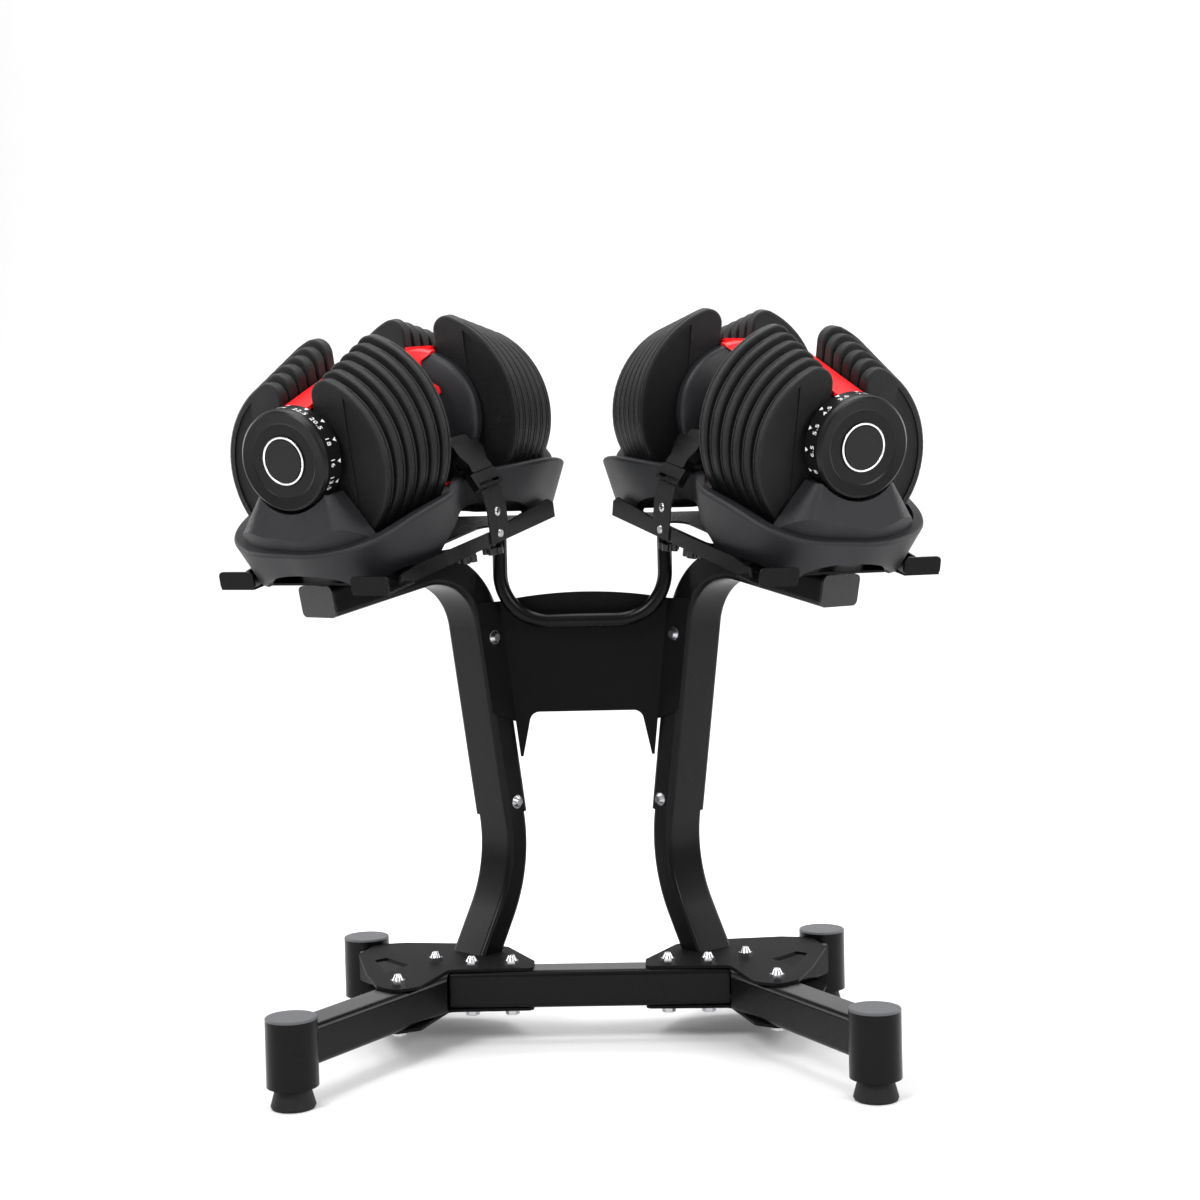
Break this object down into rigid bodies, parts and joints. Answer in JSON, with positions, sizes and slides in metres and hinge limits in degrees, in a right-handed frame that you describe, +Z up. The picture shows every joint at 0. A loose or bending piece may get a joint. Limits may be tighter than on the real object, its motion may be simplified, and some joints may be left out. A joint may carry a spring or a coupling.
{
  "type": "adjustable dumbbell set with stand",
  "caption": "Pair of dial-select adjustable dumbbells resting in trays, strapped onto a splayed floor stand with tilted shelves.",
  "frame": {"origin": "on the floor, under the middle of the set", "axes": "+X to the user's right, +Y away from the user, +Z up"},
  "size_m": [0.7468, 0.518, 0.7853],
  "materials": {
    "black_painted_steel": "satin",
    "zinc_steel": "polished",
    "foot_rubber": "matte",
    "grey_plastic": "matte",
    "black_plastic": "matte",
    "black_webbing": "woven",
    "tray_plastic": "textured",
    "red_plastic": "satin",
    "coated_plate": "textured",
    "grip_rubber": "matte",
    "bar_steel": "satin",
    "badge_face": "satin"
  },
  "bodies": {
    "stand": {"arm_end_caps": "black_plastic", "back_panel": "black_painted_steel", "buckle_plugs": "black_plastic", "buckle_sockets": "black_plastic", "cross_tube": "black_painted_steel", "domed_bolts": "zinc_steel", "front_legs": "black_painted_steel", "hex_nuts": "zinc_steel", "left_shelf": "black_painted_steel", "left_strap": "black_webbing", "left_tray": "tray_plastic", "leg_posts": "black_painted_steel", "lower_gussets": "black_painted_steel", "post_caps": "grey_plastic", "rear_legs": "black_painted_steel", "right_plates_1": "coated_plate", "right_plates_2": "coated_plate", "right_plates_3": "coated_plate", "right_plates_4": "coated_plate", "right_plates_5": "coated_plate", "right_plates_6": "coated_plate", "right_shelf": "black_painted_steel", "right_strap": "black_webbing", "right_tray": "tray_plastic", "rubber_feet": "foot_rubber", "shelf_knobs": "black_plastic", "strap_rivets": "zinc_steel", "tray_badges": "red_plastic", "u_rail": "black_painted_steel", "upper_gussets": "black_painted_steel", "uprights_lower": "black_painted_steel", "uprights_upper": "black_painted_steel"},
    "left_handle": {"left_grip": "grip_rubber", "left_shaft": "bar_steel", "left_end_housings": "black_plastic", "left_bridges": "red_plastic", "left_plates_1": "coated_plate", "left_plates_2": "coated_plate", "left_plates_3": "coated_plate", "left_plates_4": "coated_plate", "left_plates_5": "coated_plate", "left_plates_6": "coated_plate"},
    "left_near_dial": {"left_near_dial": "black_plastic", "left_near_badge": "badge_face", "left_near_selector_discs": "black_plastic"},
    "left_far_dial": {"left_far_dial": "black_plastic", "left_far_badge": "badge_face", "left_far_selector_discs": "black_plastic"},
    "left_plungers": {"left_lock_plungers": "bar_steel"},
    "right_handle": {"right_grip": "grip_rubber", "right_shaft": "bar_steel", "right_end_housings": "black_plastic", "right_bridges": "red_plastic"},
    "right_near_dial": {"right_near_dial": "black_plastic", "right_near_badge": "badge_face", "right_near_selector_discs": "black_plastic"},
    "right_far_dial": {"right_far_dial": "black_plastic", "right_far_badge": "badge_face", "right_far_selector_discs": "black_plastic"},
    "right_plungers": {"right_lock_plungers": "bar_steel"}
  },
  "joints": [
    {"name": "left_lift", "type": "slide", "parent": "stand", "child": "left_handle", "axis": [-0.0944, -0.1853, 0.9781], "range_m": [0, 0.2]},
    {"name": "left_near_dial_turn", "type": "hinge", "parent": "left_handle", "child": "left_near_dial", "pos_m": [-0.28137, -0.13912, 0.6265], "axis": [0.4441, 0.8715, 0.2079], "range_deg": [-336, 0]},
    {"name": "left_far_dial_turn", "type": "hinge", "parent": "left_handle", "child": "left_far_dial", "pos_m": [-0.11263, 0.19206, 0.7055], "axis": [0.4441, 0.8715, 0.2079], "range_deg": [-336, 0]},
    {"name": "left_plunger_push", "type": "slide", "parent": "left_handle", "child": "left_plungers", "axis": [-0.0944, -0.1853, 0.9781], "range_m": [0, 0.004], "stiffness_N_per_m": 300},
    {"name": "right_lift", "type": "slide", "parent": "stand", "child": "right_handle", "axis": [0.0944, -0.1853, 0.9781], "range_m": [0, 0.2]},
    {"name": "right_near_dial_turn", "type": "hinge", "parent": "right_handle", "child": "right_near_dial", "pos_m": [0.28137, -0.13912, 0.6265], "axis": [-0.4441, 0.8715, 0.2079], "range_deg": [0, 336]},
    {"name": "right_far_dial_turn", "type": "hinge", "parent": "right_handle", "child": "right_far_dial", "pos_m": [0.11263, 0.19206, 0.7055], "axis": [-0.4441, 0.8715, 0.2079], "range_deg": [0, 336]},
    {"name": "right_plunger_push", "type": "slide", "parent": "right_handle", "child": "right_plungers", "axis": [0.0944, -0.1853, 0.9781], "range_m": [0, 0.004], "stiffness_N_per_m": 300}
  ]
}
